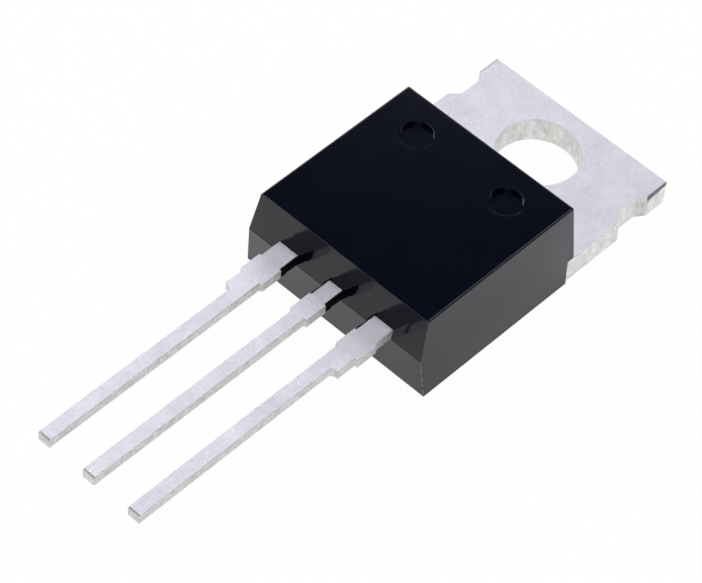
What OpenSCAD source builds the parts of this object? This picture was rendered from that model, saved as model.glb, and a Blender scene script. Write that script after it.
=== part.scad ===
// Triac in a through-hole power package: a moulded body on a metal mounting tab, with three flat leads.
// The origin is the centre of the mounting hole on the tab's back face, which seats on the heat sink.
// +Z runs through the tab towards the body's face, +Y to the tab's free end, and the leads run along -Y.

/* [Moulded body] */
// Width of the body at its back face
body_width = 10.22; // [9.9:0.02:10.6]
// Height of the body's face above the back of the tab
body_height = 4.4; // [4.2:0.1:5]
// From the hole's centre to the body's tab-end face, where it meets the front of the tab
hole_to_body = 3.31; // [3.2:0.01:5]
// Length of the body from that face to the parting line at the leads
body_length = 9.64; // [9.3:0.01:12]
// Lean of the two long side faces, in degrees
side_draft = 4.9; // [0:0.1:7]
// Lean of the tab-end face, in degrees
tab_end_draft = 4.6; // [0:0.2:7]
// Lean of the lead-end face above the parting line, in degrees
lead_end_top_draft = 11.5; // [0:0.5:13]
// Lean of the lead-end face below the parting line, in degrees
lead_end_foot_draft = 6.6; // [0:0.2:8]
// Diameter of the two ejector-pin recesses in the face
ejector_diameter = 1.55; // [1:0.05:2]
// Distance between the centres of the ejector-pin recesses
ejector_spacing = 5.08; // [3:0.02:6]
// From the face's tab-end edge to the centres of the ejector-pin recesses
ejector_setback = 1.85; // [1.2:0.05:3]
// Depth of the ejector-pin recesses
ejector_depth = 0.2; // [0.05:0.05:0.4]

/* [Mounting tab] */
// Thickness of the tab and of the plate that carries the die
tab_thickness = 1.3; // [1.1:0.05:1.4]
// Width of the tab at its free end
tab_width = 9.9; // [9.4:0.1:10]
// From the hole's centre to the tab's free end
hole_to_end = 2.8; // [2.4:0.1:4]
// Diameter of the mounting hole
hole_diameter = 3.8; // [3.4:0.1:4]
// Width between the two side notches
waist_width = 9.24; // [8.6:0.04:9.4]
// From the hole's centre to the middle of the notches, towards the free end
notch_offset = 0.63; // [0:0.01:1]
// Length of a notch's straight floor
notch_length = 1.05; // [0.5:0.05:1.5]
// Length of a notch's slanted end
notch_ramp = 0.48; // [0.1:0.02:0.6]
// Width of the tab's shoulders, where it enters the body
shoulder_width = 10.04; // [9.5:0.02:10.1]
// How far the shoulders run on below the body's tab-end face
shoulder_tuck = 0.44; // [0.2:0.02:0.6]
// Width of the plate inside the body, at its back face
plate_width = 8.4; // [7.6:0.1:8.8]
// Overhang of the lip along each side of the plate, which the plastic grips
lip_overhang = 0.25; // [0.1:0.05:0.3]
// Thickness of that lip, from the plate's front face down
lip_thickness = 0.65; // [0.3:0.05:0.9]
// Width of the V groove across the plate, which locks the plastic
groove_width = 0.5; // [0.2:0.05:0.7]
// From the body's tab-end face to the middle of the groove
groove_setback = 0.9; // [0.7:0.05:1.2]

/* [Leads] */
// Distance between the leads' centre lines
lead_pitch = 2.54; // [2.5:0.01:2.6]
// Width of a lead
lead_width = 0.65; // [0.6:0.05:0.9]
// Thickness of a lead
lead_thickness = 0.5; // [0.4:0.05:0.6]
// Height of the leads' undersides and of the parting line above the back of the tab
lead_height = 2.34; // [2.2:0.02:2.6]
// From the parting line to the lead tips
lead_length = 13.95; // [8:0.05:15]
// Width of the two outer leads at the body
outer_root_width = 1.07; // [0.9:0.01:1.2]
// How far the outer leads' roots lie outward of their centre lines
root_shift = 0.18; // [0:0.02:0.2]
// Width of the middle lead at the body
middle_root_width = 0.74; // [0.68:0.02:1.1]
// From the parting line to the stubs of the cut dam bar
dambar_start = 0.97; // [0.5:0.01:1.2]
// Length of those stubs along the lead
dambar_length = 1.14; // [0.6:0.02:1.3]
// How far the stubs stand out of each side of a lead's root
dambar_stub = 0.1; // [0.04:0.02:0.2]
// From the parting line to the end of the outer leads' stop shoulders
stop_end = 3.1; // [2.6:0.05:3.6]
// From an outer lead's centre line to the edge of its stop shoulder
stop_reach = 0.67; // [0.6:0.01:0.8]
// Radius of the fillet that ends a stop shoulder
stop_fillet = 0.25; // [0.05:0.05:0.3]

/* [Inside the body] */
// Width of the strip that joins the plate to the middle lead
bridge_width = 2; // [1.2:0.1:2.2]
// Angle at which that strip climbs, in degrees
bridge_slope = 60; // [45:5:75]
// Inner radius of the strip's two bends
bend_radius = 0.3; // [0.1:0.05:0.4]
// From the parting line in to the bridge's upper bend
bridge_cover = 0.62; // [0.55:0.01:1]
// From the parting line in to the place where the middle lead narrows
neck_cover = 0.4; // [0.35:0.05:0.5]
// Width of the bonding post at the inner end of each outer lead
post_width = 2.3; // [1.8:0.1:2.5]
// Length of the bonding posts
post_length = 1.4; // [1.1:0.1:1.8]
// From the parting line in to the bonding posts
post_cover = 0.75; // [0.6:0.05:1]
// Length and width of the square triac die
die_size = 3.2; // [2:0.1:4]
// Thickness of the die
die_thickness = 0.25; // [0.2:0.01:0.4]
// From the plate's inner end to the middle of the die
die_setback = 3.3; // [2.8:0.1:4]
// Thickness of the solder under the die
solder_thickness = 0.06; // [0.02:0.01:0.1]
// How far the solder stands out around the die
solder_margin = 0.1; // [0:0.05:0.3]
// Diameter of the two wires to the first main terminal
main_wire_diameter = 0.3; // [0.2:0.05:0.4]
// Distance between those two wires, on the die and on the post
main_wire_spacing = 0.9; // [0.6:0.1:1.2]
// Diameter of the gate wire
gate_wire_diameter = 0.15; // [0.1:0.05:0.25]
// Half the angle that a wire turns through in its arch, in degrees
wire_arch = 35; // [20:1:50]

/* [Hidden] */
$fn = 96;

epoxy = "#15161c";
tin = "#c9c9cf";
copper = "#b9764a";
silicon = "#5a6070";
solder = "#9a9ca2";
aluminium = "#d0d2d6";

// Places along Y
tab_end_y = -hole_to_body;
shoulder_end_y = tab_end_y - shoulder_tuck;
parting_y = tab_end_y - body_length;
face_tab_y = tab_end_y - (body_height - tab_thickness) * tan(tab_end_draft);
face_lead_y = parting_y + (body_height - lead_height) * tan(lead_end_top_draft);
foot_lead_y = parting_y + lead_height * tan(lead_end_foot_draft);
ejector_y = face_tab_y - ejector_setback;

// The bridge climbs from the plate's front face to the middle lead through two equal bends
bend_middle = bend_radius + lead_thickness / 2;
bridge_rise = lead_height + lead_thickness - tab_thickness;
bridge_run = (bridge_rise - 2 * bend_middle * (1 - cos(bridge_slope))) / sin(bridge_slope);
bridge_reach = 2 * bend_middle * sin(bridge_slope) + bridge_run * cos(bridge_slope);
plate_end_y = parting_y + bridge_cover + bridge_reach;
bridge_overlap = 0.5;
arc_steps = 12;

// The die stands on its solder, and the wires on the die and the posts
die_y = plate_end_y + die_setback;
die_foot_z = tab_thickness + solder_thickness;
die_face_z = die_foot_z + die_thickness;
post_face_z = lead_height + lead_thickness;
post_x = lead_pitch + root_shift;
post_y = parting_y + post_cover + post_length / 2;
wire_seat = 0.65;
main_pad = [-0.1 * die_size, die_y - 0.2 * die_size];
gate_pad = [0.35 * die_size, die_y - 0.35 * die_size];

// Long side of the body seen along X: the foot starts behind the tab's shoulders
module body_side_profile() {
    polygon([
        [tab_end_y, tab_thickness],
        [face_tab_y, body_height],
        [face_lead_y, body_height],
        [parting_y, lead_height],
        [foot_lead_y, 0],
        [shoulder_end_y, 0],
        [shoulder_end_y, tab_thickness]
    ]);
}

// Body seen along Y: widest at its foot
module body_end_profile() {
    face_half = body_width / 2 - body_height * tan(side_draft);
    polygon([
        [-body_width / 2, 0],
        [body_width / 2, 0],
        [face_half, body_height],
        [-face_half, body_height]
    ]);
}

// The outer form of the plastic, drafted so that it leaves its mould
module body_block() {
    intersection() {
        rotate([90, 0, 90])
            translate([0, 0, -body_width])
                linear_extrude(2 * body_width) body_side_profile();
        rotate([90, 0, 0])
            linear_extrude(-parting_y + 1) body_end_profile();
    }
}

module ejector_recesses() {
    for (side = [-1, 1])
        translate([side * ejector_spacing / 2, ejector_y, body_height - ejector_depth])
            cylinder(h = ejector_depth + 1, d = ejector_diameter);
}

// The plastic flows around everything inside it, so its cavity is the exact form of those pieces
module moulded_body() {
    color(epoxy) difference() {
        body_block();
        ejector_recesses();
        tab_metal();
        outer_lead(-1);
        outer_lead(1);
        die_solid();
        solder_solid();
        for (row = [-1, 1]) main_wire(row);
        gate_wire();
    }
}

// Tab and plate seen from above: a notch in each side, shoulders at the body, then the narrower plate
module tab_outline() {
    notch_far = notch_offset + notch_length / 2;
    notch_near = notch_offset - notch_length / 2;
    both_sides([
        [plate_width / 2, plate_end_y],
        [plate_width / 2, shoulder_end_y],
        [shoulder_width / 2, shoulder_end_y],
        [shoulder_width / 2, notch_near - notch_ramp],
        [waist_width / 2, notch_near],
        [waist_width / 2, notch_far],
        [tab_width / 2, notch_far + notch_ramp],
        [tab_width / 2, hole_to_end]
    ]);
}

// Closed outline from the points of its right side and their mirror image
module both_sides(right) {
    left = [for (i = [len(right) - 1:-1:0]) [-right[i].x, right[i].y]];
    polygon(concat(right, left));
}

// Lip along both sides of the plate; it starts inside the shoulders, which are wider
module plate_lip() {
    lip_width = plate_width + 2 * lip_overhang;
    lip_length = shoulder_end_y + shoulder_tuck / 2 - plate_end_y;
    translate([-lip_width / 2, plate_end_y, tab_thickness - lip_thickness])
        cube([lip_width, lip_length, lip_thickness]);
}

// V groove across the plate's front face
module lock_groove() {
    side = groove_width / sqrt(2);
    translate([-body_width / 2, tab_end_y - groove_setback, tab_thickness])
        rotate([45, 0, 0])
            translate([0, -side / 2, -side / 2])
                cube([body_width, side, side]);
}

// Points along an arc, where angles count from straight down towards the first coordinate
function arc_points(centre, radius, first, last) =
    [for (i = [0:arc_steps])
        let (angle = first + (last - first) * i / arc_steps)
        centre + radius * [sin(angle), -cos(angle)]];

// Strip that climbs from the plate to the level of the leads, drawn from the side: its points go
// inward from the plate's end and up from the tab's back
module bridge() {
    outer_radius = bend_radius + lead_thickness;
    lower_centre = [0, tab_thickness + bend_radius];
    upper_centre = [bridge_reach, lead_height - bend_radius];
    run_out = bridge_reach + bridge_cover - neck_cover;
    under = concat(
        [[-bridge_overlap, tab_thickness - lead_thickness]],
        arc_points(lower_centre, outer_radius, 0, bridge_slope),
        arc_points(upper_centre, -bend_radius, bridge_slope, 0),
        [[run_out, lead_height]]
    );
    over = concat(
        [[run_out, lead_height + lead_thickness]],
        arc_points(upper_centre, -outer_radius, 0, bridge_slope),
        arc_points(lower_centre, bend_radius, bridge_slope, 0),
        [[-bridge_overlap, tab_thickness]]
    );
    translate([-bridge_width / 2, plate_end_y, 0])
        rotate([90, 0, 90])
            linear_extrude(bridge_width)
                mirror([1, 0]) polygon(concat(under, over));
}

// Sheet metal of a lead. Its outline's points are [across, out], with out counted from the parting line
module lead_sheet() {
    translate([0, parting_y, lead_height])
        linear_extrude(lead_thickness)
            mirror([0, 1]) children();
}

// Middle lead: a slightly wider root, the dam bar's stubs and the long narrow part
module middle_lead() {
    root = middle_root_width / 2;
    dambar_end = dambar_start + dambar_length;
    lead_sheet()
        both_sides([
            [root, -bridge_cover],
            [root, dambar_start],
            [root + dambar_stub, dambar_start],
            [root + dambar_stub, dambar_end],
            [lead_width / 2, dambar_end],
            [lead_width / 2, lead_length]
        ]);
}

// Tab, plate, bridge and middle lead are one stamped and bent piece of metal
module tab_metal() {
    difference() {
        union() {
            linear_extrude(tab_thickness) tab_outline();
            plate_lip();
        }
        translate([0, 0, -1]) cylinder(h = tab_thickness + 2, d = hole_diameter);
        lock_groove();
    }
    bridge();
    middle_lead();
}

module mounting_tab() {
    color(tin) tab_metal();
}

// Outer lead: bonding post, root, the dam bar's stubs, and a stop shoulder that ends in a fillet on
// the side away from the middle lead
module outer_lead(side) {
    dambar_end = dambar_start + dambar_length;
    post_inner = root_shift - post_width / 2;
    post_outer = root_shift + post_width / 2;
    root_inner = root_shift - outer_root_width / 2;
    root_outer = root_shift + outer_root_width / 2;
    fillet_centre = [lead_width / 2 + stop_fillet, stop_end + stop_fillet];
    inner_edge = [
        [post_inner, -post_cover - post_length],
        [post_inner, -post_cover],
        [root_inner, -post_cover],
        [root_inner, dambar_start],
        [root_inner - dambar_stub, dambar_start],
        [root_inner - dambar_stub, dambar_end],
        [-lead_width / 2, dambar_end],
        [-lead_width / 2, lead_length]
    ];
    outer_edge = concat(
        [[lead_width / 2, lead_length]],
        arc_points(fillet_centre, stop_fillet, -90, 0),
        [
            [stop_reach, stop_end],
            [stop_reach, dambar_end],
            [root_outer + dambar_stub, dambar_end],
            [root_outer + dambar_stub, dambar_start],
            [root_outer, dambar_start],
            [root_outer, -post_cover],
            [post_outer, -post_cover],
            [post_outer, -post_cover - post_length]
        ]
    );
    mirror([side < 0 ? 1 : 0, 0, 0])
        translate([lead_pitch, 0, 0])
            lead_sheet() polygon(concat(inner_edge, outer_edge));
}

module mt1_lead() {
    color(tin) outer_lead(-1);
}

module gate_lead() {
    color(tin) outer_lead(1);
}

module die_solid() {
    translate([-die_size / 2, die_y - die_size / 2, die_foot_z])
        cube([die_size, die_size, die_thickness]);
}

module triac_die() {
    color(silicon) die_solid();
}

module solder_solid() {
    pad = die_size + 2 * solder_margin;
    translate([-pad / 2, die_y - pad / 2, tab_thickness])
        cube([pad, pad, solder_thickness]);
}

module die_attach_solder() {
    color(solder) solder_solid();
}

// Wire that arches from the die to a post, standing on a flattened foot at each end
module bond_wire(start, end, diameter) {
    across = end - start;
    reach = norm(across);
    rise = post_face_z - die_face_z;
    slope = atan2(rise, reach);
    radius = norm([reach, rise]) / (2 * sin(wire_arch));
    translate([start.x, start.y, die_face_z])
        rotate([0, 0, atan2(across.y, across.x)]) {
            wire_foot(0, 0, diameter);
            wire_foot(reach, rise, diameter);
            translate([radius * sin(slope + wire_arch), 0, wire_seat * diameter - radius * cos(slope + wire_arch)])
                rotate([90, 0, 0])
                    rotate([0, 0, 90 + slope - wire_arch])
                        rotate_extrude(angle = 2 * wire_arch)
                            translate([radius, 0]) circle(d = diameter);
        }
}

// Flattened weld under a wire's end
module wire_foot(along, up, diameter) {
    size = [2.5 * diameter, 1.3 * diameter, wire_seat * diameter];
    translate([along - size.x / 2, -size.y / 2, up]) cube(size);
}

module main_wire(row) {
    offset_x = row * main_wire_spacing / 2;
    bond_wire([main_pad.x + offset_x, main_pad.y], [-post_x + offset_x, post_y], main_wire_diameter);
}

module gate_wire() {
    bond_wire(gate_pad, [post_x, post_y], gate_wire_diameter);
}

module mt1_bond_wire_1() {
    color(aluminium) main_wire(-1);
}

module mt1_bond_wire_2() {
    color(aluminium) main_wire(1);
}

module gate_bond_wire() {
    color(aluminium) gate_wire();
}

moulded_body();
mounting_tab();
mt1_lead();
gate_lead();
triac_die();
die_attach_solder();
mt1_bond_wire_1();
mt1_bond_wire_2();
gate_bond_wire();
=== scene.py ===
import math

import bmesh
import bpy
from mathutils import Matrix, Vector


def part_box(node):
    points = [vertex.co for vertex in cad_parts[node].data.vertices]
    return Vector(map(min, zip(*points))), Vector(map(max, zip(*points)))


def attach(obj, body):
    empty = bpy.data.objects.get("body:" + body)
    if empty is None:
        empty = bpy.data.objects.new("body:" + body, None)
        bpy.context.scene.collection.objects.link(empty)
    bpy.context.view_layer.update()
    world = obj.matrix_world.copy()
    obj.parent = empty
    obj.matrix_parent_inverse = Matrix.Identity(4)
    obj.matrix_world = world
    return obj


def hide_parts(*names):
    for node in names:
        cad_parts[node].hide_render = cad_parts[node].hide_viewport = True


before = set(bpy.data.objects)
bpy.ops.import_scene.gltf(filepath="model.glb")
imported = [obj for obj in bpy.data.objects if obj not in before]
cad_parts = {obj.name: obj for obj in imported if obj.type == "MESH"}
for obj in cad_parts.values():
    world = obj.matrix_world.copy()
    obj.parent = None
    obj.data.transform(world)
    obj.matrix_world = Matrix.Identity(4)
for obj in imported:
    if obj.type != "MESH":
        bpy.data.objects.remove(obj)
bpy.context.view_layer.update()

# ---------------------------------------------------------------------------------------------
# Mounting tab with the middle lead
# One strip of copper alloy, blanked in a press, with the middle lead bent up out of the plate that
# carries the die. It is tin plated all over, and the plastic is moulded round the plate.

# The pieces are shaped in millimetres round the mounting hole, and shrunk to metres when done.
# Their axes are the frame's: across is X, along is Y, and up is Z.
MM = 0.001
ACROSS, ALONG, UP = 0, 1, 2
near_enough = 0.001
weld_distance = 0.00001

# The tab: ears at its free end, a notch on each side, and shoulders against the body
tab_thickness = 1.3
tab_width = 9.9
free_end = 2.8
hole_diameter = 3.8
waist_width = 9.24
notch_far = 1.155
notch_near = 0.105
notch_ramp = 0.48
ear_start = notch_far + notch_ramp
shoulder_start = notch_near - notch_ramp
shoulder_end = -3.75
shoulder_width = 10.04

# The plate inside the plastic, with a lip along both sides and a groove across
plate_end = -10.8106
plate_half = 4.2
lip_half = 4.45
lip_foot = 0.65
groove_middle = -4.21
groove_half = 0.25

# The lead: its neck inside the plastic, its root, the cut dam bar and its tip
lead_thickness = 0.5
lead_foot = 2.34
lead_face = lead_foot + lead_thickness
lead_width = 0.65
lead_length = 13.95
parting_line = -12.95
neck = parting_line + 0.4
root_length = 0.97
middle_root = 0.74
dambar_width = 1.14
dambar_stub = 0.1
dambar_start = parting_line - root_length
dambar_end = dambar_start - dambar_width
lead_tip = parting_line - lead_length

# The bridge from the plate up to the lead
bridge_half = 1.0
bridge_foot = tab_thickness - lead_thickness
bend_radius = 0.3
bend_angle = math.radians(60)
bend_steps = 10

# What the press leaves: how far a punch goes past a face, and how round it leaves the edges
punch_reach = 0.8
tip_roll = 0.14
stamped_edge = 0.035
sharp_above = math.radians(50)
smooth_below = math.radians(40)


def srgb(hex_colour):
    """An sRGB hex colour as the linear colour that a shader takes."""
    levels = [int(hex_colour[i:i + 2], 16) / 255 for i in (1, 3, 5)]
    return [v / 12.92 if v <= 0.04045 else ((v + 0.055) / 1.055) ** 2.4 for v in levels] + [1]


def pick(piece):
    """Makes a piece the only one selected, in object mode."""
    bpy.ops.object.select_all(action="DESELECT")
    piece.select_set(True)
    bpy.context.view_layer.objects.active = piece


def block(name, low, high):
    """Adds a block between two corners, and opens it in edit mode."""
    bpy.ops.object.select_all(action="DESELECT")
    bpy.ops.mesh.primitive_cube_add(size=1, location=[(a + b) / 2 for a, b in zip(low, high)],
                                    scale=[b - a for a, b in zip(low, high)])
    bpy.ops.object.transform_apply()
    piece = bpy.context.object
    piece.name = piece.data.name = name
    bpy.ops.object.mode_set(mode="EDIT")
    return piece


def choose(mode, test):
    """Selects the faces, edges or vertices whose points and direction pass the test."""
    bpy.ops.mesh.select_mode(type=mode)
    bpy.ops.mesh.select_all(action="DESELECT")
    mesh = bmesh.from_edit_mesh(bpy.context.object.data)
    for part in {"VERT": mesh.verts, "EDGE": mesh.edges, "FACE": mesh.faces}[mode]:
        points = [part.co] if mode == "VERT" else [v.co for v in part.verts]
        way = points[1] - points[0] if mode == "EDGE" else part.normal
        part.select_set(bool(test(points, way.normalized())))
    mesh.select_flush_mode()
    bmesh.update_edit_mesh(bpy.context.object.data)


def at(points, axis, place):
    """True if all the points lie at one place along an axis."""
    return all(abs(p[axis] - place) < near_enough for p in points)


def within(points, axis, low, high):
    """True if all the points lie between two places along an axis."""
    return all(low - near_enough < p[axis] < high + near_enough for p in points)


def runs(way, axis):
    """True if an edge, or a face's normal, runs along an axis, give or take a draft angle."""
    return abs(way[axis]) > 0.9


def score(axis, place):
    """Draws a line round what is selected, square to an axis."""
    normal = [float(i == axis) for i in range(3)]
    bpy.ops.mesh.bisect(plane_co=[n * place for n in normal], plane_no=normal,
                        threshold=weld_distance)


def score_all(axis, *places):
    """Draws lines round the whole piece, square to an axis."""
    for place in places:
        bpy.ops.mesh.select_all(action="SELECT")
        score(axis, place)


def score_end(end, axis, *places):
    """Draws lines on a piece's end face only, square to an axis."""
    for place in places:
        choose("FACE", lambda points, way: at(points, ALONG, end))
        score(axis, place)


def draw_out(x=0.0, y=0.0, z=0.0):
    """Extrudes the selected face by that much."""
    bpy.ops.mesh.extrude_region_move(TRANSFORM_OT_translate={"value": (x, y, z)})


def draw_on(end, new_end, left, right):
    """Draws an end face on to a new end, between two sides."""
    score_end(end, ACROSS, left, right)
    choose("FACE", lambda points, way: at(points, ALONG, end) and within(points, ACROSS, left, right))
    draw_out(y=new_end - end)


def draw_root(end, left, right):
    """Draws a lead's root out of an end face, with the stubs of the cut dam bar on both sides."""
    draw_on(end, dambar_start, left, right)
    draw_out(y=dambar_end - dambar_start)
    for side, step in ((left, -dambar_stub), (right, dambar_stub)):
        choose("FACE", lambda points, way: at(points, ACROSS, side) and runs(way, ACROSS)
               and within(points, ALONG, dambar_end, dambar_start))
        draw_out(x=step)


def roll_tip():
    """Rolls the top edge of a lead's tip down, as the last cut does."""
    choose("EDGE", lambda points, way: at(points, ALONG, lead_tip) and at(points, UP, lead_face))
    bpy.ops.mesh.bevel(offset=tip_roll, segments=3)
    bpy.ops.object.mode_set(mode="OBJECT")


def modify(piece, kind, **settings):
    """Adds a modifier to a piece and applies it."""
    if bpy.context.object and bpy.context.object.mode == "EDIT":
        bpy.ops.object.mode_set(mode="OBJECT")
    bpy.context.view_layer.objects.active = piece
    modifier = piece.modifiers.new(kind.title(), kind)
    for key, value in settings.items():
        setattr(modifier, key, value)
    bpy.ops.object.modifier_apply(modifier=modifier.name)


def combine(piece, tool, operation):
    """Adds a tool's shape to a piece or takes it away, and throws the tool away."""
    modify(piece, "BOOLEAN", operation=operation, object=tool, solver="EXACT")
    bpy.data.objects.remove(tool)


def punch(piece, diameter, low, high, sides, across=0.0, along=0.0):
    """Takes a round hole out of a piece, between two heights."""
    bpy.ops.object.select_all(action="DESELECT")
    bpy.ops.mesh.primitive_cylinder_add(vertices=sides, radius=diameter / 2, depth=high - low,
                                        location=(across, along, (low + high) / 2))
    bpy.ops.object.transform_apply()
    combine(piece, bpy.context.object, "DIFFERENCE")


tab = block("mounting_tab_metal", (-waist_width / 2, shoulder_end, 0),
            (waist_width / 2, free_end, tab_thickness))

# The notches: the ears and the shoulders are wider than the waist between them
score_all(ALONG, ear_start, notch_far, notch_near, shoulder_start)
for width, low, high in ((tab_width, ear_start, free_end),
                         (shoulder_width, shoulder_end, shoulder_start)):
    choose("VERT", lambda points, way: within(points, ALONG, low, high))
    bpy.ops.transform.resize(value=(width / waist_width, 1, 1), center_override=(0, 0, 0))

# The plate is drawn out of the shoulders, with its lips along the upper part of its sides
score_end(shoulder_end, ACROSS, -lip_half, -plate_half, plate_half, lip_half)
score_end(shoulder_end, UP, lip_foot)
choose("FACE", lambda points, way: at(points, ALONG, shoulder_end)
       and within(points, ACROSS, -lip_half, lip_half)
       and (within(points, ACROSS, -plate_half, plate_half)
            or within(points, UP, lip_foot, tab_thickness)))
draw_out(y=plate_end - shoulder_end)

# A groove with sloping sides is pressed across it, for the plastic to lock into
for place in (groove_middle - groove_half, groove_middle, groove_middle + groove_half):
    choose("FACE", lambda points, way: within(points, ALONG, plate_end, shoulder_end)
           and not at(points, ALONG, plate_end) and not at(points, ALONG, shoulder_end))
    score(ALONG, place)
choose("VERT", lambda points, way: at(points, ALONG, groove_middle)
       and at(points, UP, tab_thickness))
bpy.ops.transform.translate(value=(0, 0, -groove_half))

# The bridge climbs to the level of the leads through two bends
bend_middle = bend_radius + lead_thickness / 2
rise = lead_face - tab_thickness
slope = (rise - 2 * bend_middle * (1 - math.cos(bend_angle))) / math.sin(bend_angle)
bridge_end = plate_end - (2 * bend_middle * math.sin(bend_angle) + slope * math.cos(bend_angle))
score_end(plate_end, ACROSS, -bridge_half, bridge_half)
score_end(plate_end, UP, bridge_foot)
choose("FACE", lambda points, way: at(points, ALONG, plate_end)
       and within(points, ACROSS, -bridge_half, bridge_half)
       and within(points, UP, bridge_foot, tab_thickness))
bpy.ops.mesh.spin(steps=bend_steps, angle=bend_angle, axis=(1, 0, 0),
                  center=(0, plate_end, tab_thickness + bend_radius))
draw_out(y=-slope * math.cos(bend_angle), z=slope * math.sin(bend_angle))
bpy.ops.mesh.spin(steps=bend_steps, angle=bend_angle, axis=(-1, 0, 0),
                  center=(0, bridge_end, lead_foot - bend_radius))
draw_out(y=neck - bridge_end)

# The middle lead runs on from the bridge
draw_root(neck, -middle_root / 2, middle_root / 2)
draw_on(dambar_end, lead_tip, -lead_width / 2, lead_width / 2)

# The hole is pierced, and the lead cut to length
bpy.ops.object.mode_set(mode="OBJECT")
punch(tab, hole_diameter, -punch_reach, tab_thickness + punch_reach, sides=96)
pick(tab)
bpy.ops.object.mode_set(mode="EDIT")
roll_tip()


def resize(piece, across, along, up):
    """Scales a piece about the origin, and keeps its place in its mesh."""
    pick(piece)
    bpy.ops.transform.resize(value=(across, along, up), center_override=(0, 0, 0))
    bpy.ops.object.transform_apply()


def break_edges(piece):
    """Rounds every sharp edge of a stamped piece a little, as the press and the plating leave it."""
    modify(piece, "BEVEL", width=stamped_edge, segments=2, limit_method="ANGLE",
           angle_limit=sharp_above)


def settle(piece, *materials):
    """Gives a finished piece its materials and its shading, and shrinks it to metres."""
    for material in materials:
        piece.data.materials.append(material)
    pick(piece)
    bpy.ops.object.shade_smooth_by_angle(angle=smooth_below)
    modify(piece, "WEIGHTED_NORMAL", keep_sharp=True, weight=100)
    resize(piece, MM, MM, MM)


def new_material(name):
    """An empty material and its tree of nodes."""
    material = bpy.data.materials.new(name)
    material.use_nodes = True
    material.node_tree.nodes.clear()
    return material, material.node_tree


# A Mix node gives its sockets the same names for numbers and colours, so these are their places
NUMBER_A, NUMBER_B, COLOUR_A, COLOUR_B, COLOUR_OUT = 2, 3, 6, 7, 2


def add_node(tree, kind, feeds=None, **settings):
    """Adds a node to a tree, with its settings, and with a value or a link for each socket fed."""
    node = tree.nodes.new(kind)
    for key, value in settings.items():
        setattr(node, key, value)
    for socket, value in (feeds or {}).items():
        if isinstance(value, bpy.types.NodeSocket):
            tree.links.new(value, node.inputs[socket])
        else:
            node.inputs[socket].default_value = value
    return node


# Matte tin, electroplated on a copper alloy: a pale grey metal, a little violet, with a dull even
# glow full of tiny speckles, a few soft rubs, and whiter sides streaked where the press sheared it
tin, tree = new_material("matte_tin_electroplated")
place = add_node(tree, "ShaderNodeTexCoord")
surface = add_node(tree, "ShaderNodeNewGeometry")
facing = add_node(tree, "ShaderNodeSeparateXYZ", {0: surface.outputs["True Normal"]})
upright = add_node(tree, "ShaderNodeMath", {0: facing.outputs["Z"]}, operation="ABSOLUTE")
flat = add_node(tree, "ShaderNodeMapRange",
                {"Value": upright.outputs[0], "From Min": 0.75, "From Max": 0.98},
                interpolation_type="SMOOTHSTEP")
# Plating crystals of about 0.05 mm, drawn as 0.09 mm so that they show
grain = add_node(tree, "ShaderNodeTexNoise",
                 {"Vector": place.outputs["Object"], "Scale": 1 / (0.09 * MM),
                  "Detail": 4.0, "Roughness": 0.7})
# Cloudy patches of about 1 mm where the bath plated a little thicker
cloud = add_node(tree, "ShaderNodeTexNoise",
                 {"Vector": place.outputs["Object"], "Scale": 1 / (1.1 * MM),
                  "Detail": 3.0, "Roughness": 0.6})
# Rubs of about 0.08 by 1.4 mm, from the strip sliding through the press
slide = add_node(tree, "ShaderNodeMapping",
                 {"Vector": place.outputs["Object"], "Rotation": (0, 0, math.radians(25)),
                  "Scale": (1 / (0.08 * MM), 1 / (1.4 * MM), 1 / (1.4 * MM))})
rub = add_node(tree, "ShaderNodeTexNoise",
               {"Vector": slide.outputs[0], "Scale": 1.0, "Detail": 2.0})
rubbed = add_node(tree, "ShaderNodeMapRange",
                  {"Value": rub.outputs["Fac"], "From Min": 0.6, "From Max": 0.72})
# Marks of about 0.1 by 0.3 mm through the thickness, on the sheared sides
shear = add_node(tree, "ShaderNodeMapping",
                 {"Vector": place.outputs["Object"],
                  "Scale": (1 / (0.1 * MM), 1 / (0.1 * MM), 1 / (0.3 * MM))})
streak = add_node(tree, "ShaderNodeTexNoise",
                  {"Vector": shear.outputs[0], "Scale": 1.0, "Detail": 3.0, "Roughness": 0.6})
# The flat faces: clouds, broken up by the speckles
speckle = add_node(tree, "ShaderNodeMapRange",
                   {"Value": grain.outputs["Fac"], "From Min": 0.3, "From Max": 0.7,
                    "To Min": -0.4, "To Max": 0.4}, clamp=False)
mottle = add_node(tree, "ShaderNodeMath", {0: cloud.outputs["Fac"], 1: speckle.outputs[0]},
                  operation="ADD", use_clamp=True)
patches = add_node(tree, "ShaderNodeMix",
                   {"Factor": mottle.outputs[0], COLOUR_A: srgb("#c8c8cc"),
                    COLOUR_B: srgb("#e4e4e7")}, data_type="RGBA")
# The sides: larger torn blotches of about 0.35 mm where the metal broke rather than sheared
blotch = add_node(tree, "ShaderNodeTexNoise",
                  {"Vector": place.outputs["Object"], "Scale": 1 / (0.35 * MM), "Detail": 2.0})
ragged = add_node(tree, "ShaderNodeMath", {0: streak.outputs["Fac"], 1: blotch.outputs["Fac"]},
                  operation="ADD")
torn = add_node(tree, "ShaderNodeMapRange",
                {"Value": ragged.outputs[0], "From Min": 0.7, "From Max": 1.25})
sides = add_node(tree, "ShaderNodeMix",
                 {"Factor": torn.outputs[0], COLOUR_A: srgb("#dadbd6"), COLOUR_B: srgb("#f9f9f7")},
                 data_type="RGBA")
plated = add_node(tree, "ShaderNodeMix",
                  {"Factor": flat.outputs[0], COLOUR_A: sides.outputs[COLOUR_OUT],
                   COLOUR_B: patches.outputs[COLOUR_OUT]}, data_type="RGBA")
dull = add_node(tree, "ShaderNodeMapRange",
                {"Value": grain.outputs["Fac"], "To Min": 0.5, "To Max": 0.64})
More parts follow.
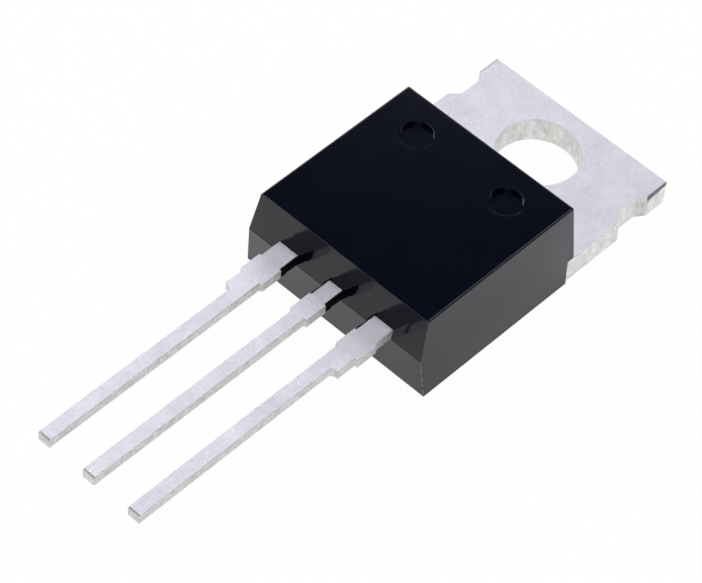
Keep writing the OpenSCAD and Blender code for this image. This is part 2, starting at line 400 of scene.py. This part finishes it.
worn = add_node(tree, "ShaderNodeMath", {0: rubbed.outputs[0], 1: -0.08, 2: dull.outputs[0]},
                operation="MULTIPLY_ADD")
# Painted shade: a dark band along the top of the ears' sides, standing in for the dark reflection
# that their rolled edges take. It is about 0.3 mm high at the notch, and lower towards the corner
band_inside = tab_width / 2 - 0.07
band_outside = tab_width / 2 - 0.01
band_foot = tab_thickness - 0.56
band_full = tab_thickness - 0.42
band_slope = 0.11
band_start = notch_far + notch_ramp * 0.8
spot = add_node(tree, "ShaderNodeSeparateXYZ", {0: place.outputs["Object"]})
across = add_node(tree, "ShaderNodeMath", {0: spot.outputs["X"]}, operation="ABSOLUTE")
outer = add_node(tree, "ShaderNodeMapRange",
                 {"Value": across.outputs[0], "From Min": band_inside * MM,
                  "From Max": band_outside * MM})
slant = add_node(tree, "ShaderNodeMath",
                 {0: spot.outputs["Y"], 1: -band_slope, 2: spot.outputs["Z"]},
                 operation="MULTIPLY_ADD")
upper = add_node(tree, "ShaderNodeMapRange",
                 {"Value": slant.outputs[0], "From Min": band_foot * MM,
                  "From Max": band_full * MM})
ear = add_node(tree, "ShaderNodeMath", {0: spot.outputs["Y"], 1: band_start * MM},
               operation="GREATER_THAN")
edge = add_node(tree, "ShaderNodeMath", {0: outer.outputs[0], 1: upper.outputs[0]},
                operation="MULTIPLY")
painted_shade_band = add_node(tree, "ShaderNodeMath", {0: edge.outputs[0], 1: ear.outputs[0]},
                  operation="MULTIPLY")
# The ears' painted shade band is mixed into the plated colour here
tint = add_node(tree, "ShaderNodeMix",
                {"Factor": painted_shade_band.outputs[0], COLOUR_A: plated.outputs[COLOUR_OUT],
                 COLOUR_B: srgb("#74777a")}, data_type="RGBA")
height = add_node(tree, "ShaderNodeMix",
                  {"Factor": flat.outputs[0], NUMBER_A: streak.outputs["Fac"],
                   NUMBER_B: grain.outputs["Fac"]})
relief = add_node(tree, "ShaderNodeBump",
                  {"Height": height.outputs[0], "Strength": 0.16, "Distance": 0.015 * MM})
shader = add_node(tree, "ShaderNodeBsdfPrincipled",
                  {"Base Color": tint.outputs[COLOUR_OUT], "Metallic": 1.0,
                   "Roughness": worn.outputs[0], "Normal": relief.outputs[0]})
add_node(tree, "ShaderNodeOutputMaterial", {"Surface": shader.outputs[0]})

# A copy of each piece of metal, in millimetres, is kept to hollow out the body
break_edges(tab)
cores = [tab.data.copy()]
settle(tab, tin)
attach(tab, "root")
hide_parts("mounting_tab")

# ---------------------------------------------------------------------------------------------
# Two outer leads
# Flat strips of the same tinned alloy, blanked with a bonding post inside the body, the cut stubs
# of the dam bar, and a stop shoulder with a fillet on the outer side. The second is the mirror image.
lead_pitch = 2.54
lead_in = lead_pitch - lead_width / 2
lead_out = lead_pitch + lead_width / 2
root_shift = 0.18
outer_root = 1.07
root_in = lead_pitch + root_shift - outer_root / 2
root_out = lead_pitch + root_shift + outer_root / 2
post_width = 2.3
post_length = 1.4
post_near = parting_line + 0.75
stop_reach = 0.67
stop_fillet = 0.25
stop_end = parting_line - 3.1

lead = block("gate_lead_metal",
             (lead_pitch + root_shift - post_width / 2, post_near, lead_foot),
             (lead_pitch + root_shift + post_width / 2, post_near + post_length, lead_face))
draw_root(post_near, root_in, root_out)
draw_on(dambar_end, stop_end, lead_in, lead_pitch + stop_reach)
draw_on(stop_end, lead_tip, lead_in, lead_out)
choose("EDGE", lambda points, way: runs(way, UP) and at(points, ALONG, stop_end)
       and at(points, ACROSS, lead_out))
bpy.ops.mesh.bevel(offset=stop_fillet, segments=8)
roll_tip()
break_edges(lead)

mirrored = lead.copy()
mirrored.data = lead.data.copy()
mirrored.name = mirrored.data.name = "mt1_lead_metal"
bpy.context.collection.objects.link(mirrored)
resize(mirrored, -1, 1, 1)
bpy.ops.object.mode_set(mode="EDIT")
bpy.ops.mesh.select_all(action="SELECT")
bpy.ops.mesh.normals_make_consistent(inside=False)
bpy.ops.object.mode_set(mode="OBJECT")

for piece, node in ((lead, "gate_lead"), (mirrored, "mt1_lead")):
    cores.append(piece.data.copy())
    settle(piece, tin)
    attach(piece, "root")
    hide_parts(node)

# ---------------------------------------------------------------------------------------------
# Triac die and the solder under it
# A square of silicon, sawn from a wafer, with aluminium pads on its face, soldered to the plate.
# Both keep the shape that they have in the CAD.


def dress(node, material):
    """Gives a piece that keeps its CAD shape the material that it is really made of."""
    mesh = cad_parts[node].data
    mesh.materials.clear()
    mesh.materials.append(material)


# Silicon: dark blue-grey and mirror smooth, with paler metal pads in a fine printed pattern
silicon, tree = new_material("silicon_polished")
place = add_node(tree, "ShaderNodeTexCoord")
oxide = add_node(tree, "ShaderNodeTexNoise",
                 {"Vector": place.outputs["Object"], "Scale": 1 / (0.6 * MM)})
tint = add_node(tree, "ShaderNodeMix",
                {"Factor": oxide.outputs["Fac"], COLOUR_A: srgb("#3d4352"),
                 COLOUR_B: srgb("#59607a")}, data_type="RGBA")
# Pads of 1.5 by 1.1 mm, with gaps of 0.06 mm
pads = add_node(tree, "ShaderNodeTexBrick",
                {"Vector": place.outputs["Object"], "Scale": 1.0, "Brick Width": 1.5 * MM,
                 "Row Height": 1.1 * MM, "Mortar Size": 0.06 * MM, "Color1": srgb("#c9ccd2"),
                 "Color2": srgb("#b9bcc4"), "Mortar": srgb("#3d4352")})
surface = add_node(tree, "ShaderNodeNewGeometry")
facing = add_node(tree, "ShaderNodeSeparateXYZ", {0: surface.outputs["True Normal"]})
printed = add_node(tree, "ShaderNodeMix",
                   {"Factor": facing.outputs["Z"], COLOUR_A: tint.outputs[COLOUR_OUT],
                    COLOUR_B: pads.outputs["Color"]}, data_type="RGBA")
shader = add_node(tree, "ShaderNodeBsdfPrincipled",
                  {"Base Color": printed.outputs[COLOUR_OUT], "Metallic": 0.6, "Roughness": 0.22})
add_node(tree, "ShaderNodeOutputMaterial", {"Surface": shader.outputs[0]})
dress("triac_die", silicon)

# Soft solder: grey and softly shiny, with faint frosty patches of about 0.15 mm where it set
soft_solder, tree = new_material("lead_tin_solder_reflowed")
place = add_node(tree, "ShaderNodeTexCoord")
frost = add_node(tree, "ShaderNodeTexNoise",
                 {"Vector": place.outputs["Object"], "Scale": 1 / (0.15 * MM), "Detail": 4.0})
tint = add_node(tree, "ShaderNodeMix",
                {"Factor": frost.outputs["Fac"], COLOUR_A: srgb("#8d9095"),
                 COLOUR_B: srgb("#b4b6ba")}, data_type="RGBA")
dull = add_node(tree, "ShaderNodeMapRange",
                {"Value": frost.outputs["Fac"], "To Min": 0.25, "To Max": 0.5})
shader = add_node(tree, "ShaderNodeBsdfPrincipled",
                  {"Base Color": tint.outputs[COLOUR_OUT], "Metallic": 1.0,
                   "Roughness": dull.outputs[0]})
add_node(tree, "ShaderNodeOutputMaterial", {"Surface": shader.outputs[0]})
dress("die_attach_solder", soft_solder)

# ---------------------------------------------------------------------------------------------
# Three bond wires
# Pure aluminium wire, drawn, and pressed down with ultrasound on the die and on the bonding posts.
# They keep the shape that they have in the CAD.
bond_wires = ("mt1_bond_wire_1", "mt1_bond_wire_2", "gate_bond_wire")

# Aluminium: white metal with fine lines of about 0.02 by 0.6 mm along the wire, from drawing it
wire_metal, tree = new_material("aluminium_drawn_wire")
place = add_node(tree, "ShaderNodeTexCoord")
along = add_node(tree, "ShaderNodeMapping",
                 {"Vector": place.outputs["Object"],
                  "Scale": (1 / (0.02 * MM), 1 / (0.6 * MM), 1 / (0.02 * MM))})
lines = add_node(tree, "ShaderNodeTexNoise",
                 {"Vector": along.outputs[0], "Scale": 1.0, "Detail": 2.0})
tint = add_node(tree, "ShaderNodeMix",
                {"Factor": lines.outputs["Fac"], COLOUR_A: srgb("#c6c8cb"),
                 COLOUR_B: srgb("#e4e5e7")}, data_type="RGBA")
dull = add_node(tree, "ShaderNodeMapRange",
                {"Value": lines.outputs["Fac"], "To Min": 0.2, "To Max": 0.4})
shader = add_node(tree, "ShaderNodeBsdfPrincipled",
                  {"Base Color": tint.outputs[COLOUR_OUT], "Metallic": 1.0,
                   "Roughness": dull.outputs[0]})
add_node(tree, "ShaderNodeOutputMaterial", {"Surface": shader.outputs[0]})
for node in bond_wires:
    dress(node, wire_metal)

# ---------------------------------------------------------------------------------------------
# Moulded body
# Black epoxy compound, moulded round the plate, the die, the wires and the lead roots. Its drafted
# faces meet in a parting line at the leads' underside, and two ejector pins left recesses in its face.
body_width = 10.22
body_height = 4.4
body_end = -3.31
side_draft = math.radians(4.9)
tab_end_draft = math.radians(4.6)
lead_end_top_draft = math.radians(11.5)
lead_end_foot_draft = math.radians(6.6)

body = block("moulded_body_epoxy", (-body_width / 2, parting_line, 0),
             (body_width / 2, shoulder_end, body_height))
# Above the tab's shoulders the plastic runs on to the tab-end face
score_all(UP, tab_thickness)
choose("FACE", lambda points, way: at(points, ALONG, shoulder_end)
       and within(points, UP, tab_thickness, body_height))
draw_out(y=body_end - shoulder_end)
# Each drafted face is planed off along the angle at which it leaves the mould
for point, outward in (
        ((body_width / 2, 0, 0), (math.cos(side_draft), 0, math.sin(side_draft))),
        ((-body_width / 2, 0, 0), (-math.cos(side_draft), 0, math.sin(side_draft))),
        ((0, body_end, tab_thickness), (0, math.cos(tab_end_draft), math.sin(tab_end_draft))),
        ((0, parting_line, lead_foot),
         (0, -math.cos(lead_end_top_draft), math.sin(lead_end_top_draft))),
        ((0, parting_line, lead_foot),
         (0, -math.cos(lead_end_foot_draft), -math.sin(lead_end_foot_draft)))):
    bpy.ops.mesh.select_all(action="SELECT")
    bpy.ops.mesh.bisect(plane_co=point, plane_no=outward, use_fill=True, clear_outer=True,
                        threshold=weld_distance)

# The edges are rounded as the mould leaves them. Where two rows pick the same edge, the later one
# holds, because each first takes off the weight that an edge has.
face_edge = 0.15
crisp_edge = 0.015
upright_edge = 0.04
tab_end_corner = 0.12
foot_edge = 0.015
parting_edge = 0.025
for test, rounding in (
        # Round the face with the recesses, but crisp over the leads
        (lambda points, way: at(points, UP, body_height), face_edge),
        (lambda points, way: at(points, UP, body_height)
         and within(points, ALONG, parting_line, parting_line + 1), crisp_edge),
        # The upright edges, and rounder ones at the tab end and beside the tab's shoulders
        (lambda points, way: runs(way, UP) and not at(points, ALONG, shoulder_end), upright_edge),
        (lambda points, way: runs(way, UP) and within(points, ALONG, body_end - 1, body_end),
         tab_end_corner),
        # The foot, and the line where the two halves of the mould meet
        (lambda points, way: at(points, UP, 0) and not at(points, ALONG, shoulder_end), foot_edge),
        (lambda points, way: at(points, UP, lead_foot) and at(points, ALONG, parting_line),
         parting_edge)):
    choose("EDGE", test)
    bpy.ops.transform.edge_bevelweight(value=-1)
    bpy.ops.transform.edge_bevelweight(value=rounding / face_edge)
modify(body, "BEVEL", width=face_edge, segments=4, limit_method="WEIGHT")

# The ejector pins' recesses, each with a slightly rounded rim
ejector_diameter = 1.55
ejector_depth = 0.2
ejector_across = 2.54
ejector_setback = 1.85
ejector_along = (body_end - (body_height - tab_thickness) * math.tan(tab_end_draft)
                 - ejector_setback)
recess_rim = 0.015
rim_slack = 0.01


def on_rim(points):
    """True if all the points lie on the rim of an ejector pin's recess."""
    return at(points, UP, body_height) and all(
        abs(math.hypot(abs(p.x) - ejector_across, p.y - ejector_along) - ejector_diameter / 2)
        < rim_slack for p in points)


for across in (-ejector_across, ejector_across):
    punch(body, ejector_diameter, body_height - ejector_depth, body_height + punch_reach,
          sides=64, across=across, along=ejector_along)
pick(body)
bpy.ops.object.mode_set(mode="EDIT")
choose("EDGE", lambda points, way: on_rim(points))
bpy.ops.mesh.bevel(offset=recess_rim, segments=3)
bpy.ops.object.mode_set(mode="OBJECT")

# Between the roots the compound crept out as far as the dam bar, and left a thin torn film on their
# sides. Each film starts inside the body and sinks a little into its root, and all but the first
# end short of the bar.
film_thickness = 0.07
film_tear = 0.06
film_cuts = 5
film_seed = 5
film_overlap = 0.02
film_margin = 0.03
film_cover = 0.3
for root_side, outward, short in ((-root_in, 1, 0), (-middle_root / 2, -1, 0.15),
                                  (middle_root / 2, 1, 0.05), (root_in, -1, 0.2)):
    outside = root_side + outward * film_thickness
    left, right = sorted((root_side - outward * film_overlap, outside))
    film = block("film", (left, dambar_start - film_overlap + short, lead_foot + film_margin),
                 (right, parting_line + film_cover, lead_face - film_margin))
    choose("FACE", lambda points, way: at(points, ACROSS, outside))
    bpy.ops.mesh.subdivide(number_cuts=film_cuts)
    choose("VERT", lambda points, way: at(points, ACROSS, outside) and points[0].y < parting_line)
    bpy.ops.transform.vertex_random(offset=film_tear, seed=film_seed + outward)
    bpy.ops.mesh.select_all(action="SELECT")
    bpy.ops.mesh.quads_convert_to_tris()
    combine(body, film, "UNION")

# The plastic's inside is the exact form of what it was moulded round. A core that stands on another,
# or that ends at the body's foot, is let down a little there, so that the cavities join cleanly.
core_overlap = 0.02
core_feet = (0, tab_thickness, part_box("die_attach_solder")[1].z / MM,
             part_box("triac_die")[1].z / MM, lead_face)
for name in ("die_attach_solder", "triac_die", *bond_wires):
    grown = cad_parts[name].data.copy()
    grown.transform(Matrix.Scale(1 / MM, 4))
    cores.append(grown)
for core in cores:
    cutter = bpy.data.objects.new("cutter", core)
    bpy.context.collection.objects.link(cutter)
    pick(cutter)
    bpy.ops.object.mode_set(mode="EDIT")
    bpy.ops.mesh.select_all(action="SELECT")
    bpy.ops.mesh.remove_doubles(threshold=weld_distance)
    choose("VERT", lambda points, way: way.z < -0.1
           and any(at(points, UP, foot) for foot in core_feet))
    bpy.ops.transform.translate(value=(0, 0, -core_overlap))
    combine(body, cutter, "DIFFERENCE")

# Epoxy moulding compound, filled with silica and moulded in a fine satin tool: near black with a
# cold tinge, smooth enough to mirror pale things at a low angle, with a grain that blurs them
epoxy, tree = new_material("epoxy_compound_moulded")
place = add_node(tree, "ShaderNodeTexCoord")
spot = add_node(tree, "ShaderNodeSeparateXYZ", {0: place.outputs["Object"]})
surface = add_node(tree, "ShaderNodeNewGeometry")
facing = add_node(tree, "ShaderNodeSeparateXYZ", {0: surface.outputs["True Normal"]})
# The tool's spark-eroded grain, about 0.06 mm
grain = add_node(tree, "ShaderNodeTexNoise",
                 {"Vector": place.outputs["Object"], "Scale": 1 / (0.06 * MM), "Detail": 2.0})
# Slow waves of about 2.5 mm where the plastic shrank over the metal
sink = add_node(tree, "ShaderNodeTexNoise",
                {"Vector": place.outputs["Object"], "Scale": 1 / (2.5 * MM), "Detail": 1.0})
black = add_node(tree, "ShaderNodeMix",
                 {"Factor": sink.outputs["Fac"], COLOUR_A: srgb("#020512"),
                  COLOUR_B: srgb("#050818")}, data_type="RGBA")
# Below the parting line, flecks of about 0.1 mm where the flash broke off the corners by the leads
sideways = add_node(tree, "ShaderNodeMath", {0: facing.outputs["X"]}, operation="ABSOLUTE")
turned = add_node(tree, "ShaderNodeMath", {0: sideways.outputs[0], 1: facing.outputs["Y"]},
                  operation="MULTIPLY")
corner = add_node(tree, "ShaderNodeMapRange",
                  {"Value": turned.outputs[0], "From Min": -0.2, "From Max": -0.3})
below = add_node(tree, "ShaderNodeMath", {0: spot.outputs["Z"], 1: lead_foot * MM},
                 operation="LESS_THAN")
chips = add_node(tree, "ShaderNodeTexNoise",
                 {"Vector": place.outputs["Object"], "Scale": 1 / (0.12 * MM), "Detail": 1.0})
broken = add_node(tree, "ShaderNodeMapRange",
                  {"Value": chips.outputs["Fac"], "From Min": 0.42, "From Max": 0.5})
here = add_node(tree, "ShaderNodeMath", {0: corner.outputs[0], 1: below.outputs[0]},
                operation="MULTIPLY")
fleck = add_node(tree, "ShaderNodeMath", {0: here.outputs[0], 1: broken.outputs[0]},
                 operation="MULTIPLY")
tint = add_node(tree, "ShaderNodeMix",
                {"Factor": fleck.outputs[0], COLOUR_A: black.outputs[COLOUR_OUT],
                 COLOUR_B: srgb("#b4b4b6")}, data_type="RGBA")
satin = add_node(tree, "ShaderNodeMapRange",
                 {"Value": grain.outputs["Fac"], "To Min": 0.07, "To Max": 0.14})
rough = add_node(tree, "ShaderNodeMath", {0: fleck.outputs[0], 1: 0.5, 2: satin.outputs[0]},
                 operation="MULTIPLY_ADD")
coarse = add_node(tree, "ShaderNodeBump",
                  {"Height": sink.outputs["Fac"], "Strength": 0.4, "Distance": 0.02 * MM})
relief = add_node(tree, "ShaderNodeBump",
                  {"Height": grain.outputs["Fac"], "Strength": 0.1, "Distance": 0.004 * MM,
                   "Normal": coarse.outputs[0]})
shader = add_node(tree, "ShaderNodeBsdfPrincipled",
                  {"Base Color": tint.outputs[COLOUR_OUT], "Roughness": rough.outputs[0],
                   "IOR": 1.5, "Normal": relief.outputs[0]})
add_node(tree, "ShaderNodeOutputMaterial", {"Surface": shader.outputs[0]})

# Flash of the same compound, on the roots and along the parting line: torn, black and quite dull,
# with a tear of about 0.08 mm
dull_epoxy, tree = new_material("epoxy_flash_dull")
place = add_node(tree, "ShaderNodeTexCoord")
tear = add_node(tree, "ShaderNodeTexNoise",
                {"Vector": place.outputs["Object"], "Scale": 1 / (0.08 * MM), "Detail": 3.0})
tint = add_node(tree, "ShaderNodeMix",
                {"Factor": tear.outputs["Fac"], COLOUR_A: srgb("#020206"),
                 COLOUR_B: srgb("#07080d")}, data_type="RGBA")
relief = add_node(tree, "ShaderNodeBump",
                  {"Height": tear.outputs["Fac"], "Strength": 0.5, "Distance": 0.02 * MM})
shader = add_node(tree, "ShaderNodeBsdfPrincipled",
                  {"Base Color": tint.outputs[COLOUR_OUT], "Roughness": 0.75,
                   "Specular IOR Level": 0.08, "Normal": relief.outputs[0]})
add_node(tree, "ShaderNodeOutputMaterial", {"Surface": shader.outputs[0]})

# The films are of flash, and so is a narrow line round the front along the parting line
film_start = 0.05
seam_half = 0.03
seam_depth = 0.02
body.data.materials.append(epoxy)
body.data.materials.append(dull_epoxy)
pick(body)
bpy.ops.object.mode_set(mode="EDIT")
choose("FACE", lambda points, way: any(p.y < parting_line - film_start for p in points)
       or within(points, UP, lead_foot - seam_half, lead_foot + seam_half)
       and within(points, ALONG, parting_line, parting_line + seam_depth))
body.active_material_index = 1
bpy.ops.object.material_slot_assign()
bpy.ops.object.mode_set(mode="OBJECT")

settle(body)
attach(body, "root")
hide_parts("moulded_body")

# ---------------------------------------------------------------------------------------------
# Floor, light and camera
# A plain white floor that keeps the part's soft shadow, four round softboxes, and a dim studio
# round it: the metal takes the boxes' glow, while the plastic's face mirrors the dim part.

# How far the paper is plain white rather than lit, where it is seen straight and in mirrors, and
# between which two lines, square to the way from front right to back left, its mirrored white rises
# in a painted falloff of light
paper_seen = 0.97
paper_mirrored = 0.72
falloff_start = -14.5
falloff_end = -6

bpy.ops.object.select_all(action="DESELECT")
bpy.ops.mesh.primitive_plane_add(size=1.2, location=(0, 0, 0))
floor = bpy.context.object
floor.name = "floor"
paper, tree = new_material("paper_white_floor")
seen = add_node(tree, "ShaderNodeLightPath")
straight = add_node(tree, "ShaderNodeMath",
                    {0: seen.outputs["Is Camera Ray"], 1: seen.outputs["Is Transmission Ray"]},
                    operation="MAXIMUM")
full = add_node(tree, "ShaderNodeMath", {0: straight.outputs[0], 1: paper_seen},
                operation="MULTIPLY")
reflected = add_node(tree, "ShaderNodeMath",
                     {0: seen.outputs["Is Glossy Ray"], 1: paper_mirrored}, operation="MULTIPLY")
lift = add_node(tree, "ShaderNodeMath", {0: full.outputs[0], 1: reflected.outputs[0]},
                operation="MAXIMUM")
matte = add_node(tree, "ShaderNodeBsdfDiffuse", {"Color": srgb("#f6f6f6")})
# Painted light falloff: in mirrors the paper glows brightest towards the back left and falls off
# across the part. The glow stands for light from the back left that fades over the floor
place = add_node(tree, "ShaderNodeTexCoord")
across = add_node(tree, "ShaderNodeVectorMath",
                  {0: place.outputs["Object"], 1: (-0.707, 0.707, 0)}, operation="DOT_PRODUCT")
painted_falloff = add_node(tree, "ShaderNodeMapRange",
                   {"Value": across.outputs["Value"], "From Min": falloff_start * MM,
                    "From Max": falloff_end * MM, "To Min": 0.75, "To Max": 1.03})
strength = add_node(tree, "ShaderNodeMix",
                    {"Factor": straight.outputs[0], NUMBER_A: painted_falloff.outputs[0], NUMBER_B: 1.0})
glow = add_node(tree, "ShaderNodeEmission",
                {"Color": srgb("#ffffff"), "Strength": strength.outputs[0]})
sheet = add_node(tree, "ShaderNodeMixShader",
                 {0: lift.outputs[0], 1: matte.outputs[0], 2: glow.outputs[0]})
add_node(tree, "ShaderNodeOutputMaterial", {"Surface": sheet.outputs[0]})
floor.data.materials.append(paper)

# The studio: white where it is seen directly, a white band low down in what mirrors it that turns
# dim higher up, and grey for the rest of the light
world = bpy.data.worlds.new("studio")
bpy.context.scene.world = world
world.use_nodes = True
tree = world.node_tree
tree.nodes.clear()
seen = add_node(tree, "ShaderNodeLightPath")
sky_way = add_node(tree, "ShaderNodeTexCoord")
height = add_node(tree, "ShaderNodeSeparateXYZ", {0: sky_way.outputs["Generated"]})
band = add_node(tree, "ShaderNodeMapRange",
                {"Value": height.outputs["Z"], "From Min": 0.05, "From Max": 0.3,
                 "To Min": 1.0, "To Max": 0.02}, interpolation_type="SMOOTHSTEP")
dim = add_node(tree, "ShaderNodeMix",
               {"Factor": seen.outputs["Is Glossy Ray"], NUMBER_A: 0.4, NUMBER_B: band.outputs[0]})
whole = add_node(tree, "ShaderNodeMath", {0: dim.outputs[0], 1: seen.outputs["Is Camera Ray"]},
                 operation="MAXIMUM")
sky = add_node(tree, "ShaderNodeBackground",
               {"Color": srgb("#ffffff"), "Strength": whole.outputs[0]})
add_node(tree, "ShaderNodeOutputWorld", {"Surface": sky.outputs[0]})

# The softboxes, all equally far from the part: low at the back left, high at the left, high at the
# back, and in front on the right. The left one is the strongest, and a row gives way, width and watts.
softbox_distance = 0.6
for name, toward, spread, power in (("back_softbox", (-0.52, 0.66, 0.48), 0.32, 0.82),
                                    ("left_softbox", (-0.5, 0.05, 0.86), 0.3, 1.5),
                                    ("top_softbox", (0.2, 0.5, 0.84), 0.25, 0.4),
                                    ("front_softbox", (0.45, -0.6, 0.6), 0.4, 0.6)):
    bpy.ops.object.light_add(type="AREA", location=Vector(toward).normalized() * softbox_distance)
    lamp = bpy.context.object
    lamp.name = name
    lamp.rotation_euler = lamp.location.to_track_quat("Z", "Y").to_euler()
    lamp.data.shape = "DISK"
    lamp.data.size = spread
    lamp.data.energy = power
    lamp.data.color = srgb("#f6f6ff")[:3]

# A long lens to the right of the leads' ends and well above them, held slightly askew
turn, tilt, roll = math.radians(38.813), math.radians(50.126), math.radians(6.281)
camera_distance = 150.04
aim = Vector((-0.640, -11.024, 0.367)) * MM
back = Vector((math.sin(turn) * math.cos(tilt), -math.cos(turn) * math.cos(tilt), math.sin(tilt)))
bpy.ops.object.camera_add()
camera = bpy.context.object
camera.name = "camera"
camera.matrix_world = (Matrix.Translation(aim + back * camera_distance * MM)
                       @ Matrix.Rotation(turn, 4, "Z")
                       @ Matrix.Rotation(math.pi / 2 - tilt, 4, "X")
                       @ Matrix.Rotation(roll, 4, "Z"))
camera.data.sensor_width = 36
camera.data.lens = 183.17
camera.data.clip_start = 0.005
camera.data.clip_end = 10
camera.data.dof.use_dof = False
bpy.context.scene.camera = camera
bpy.context.scene.view_settings.view_transform = "Standard"
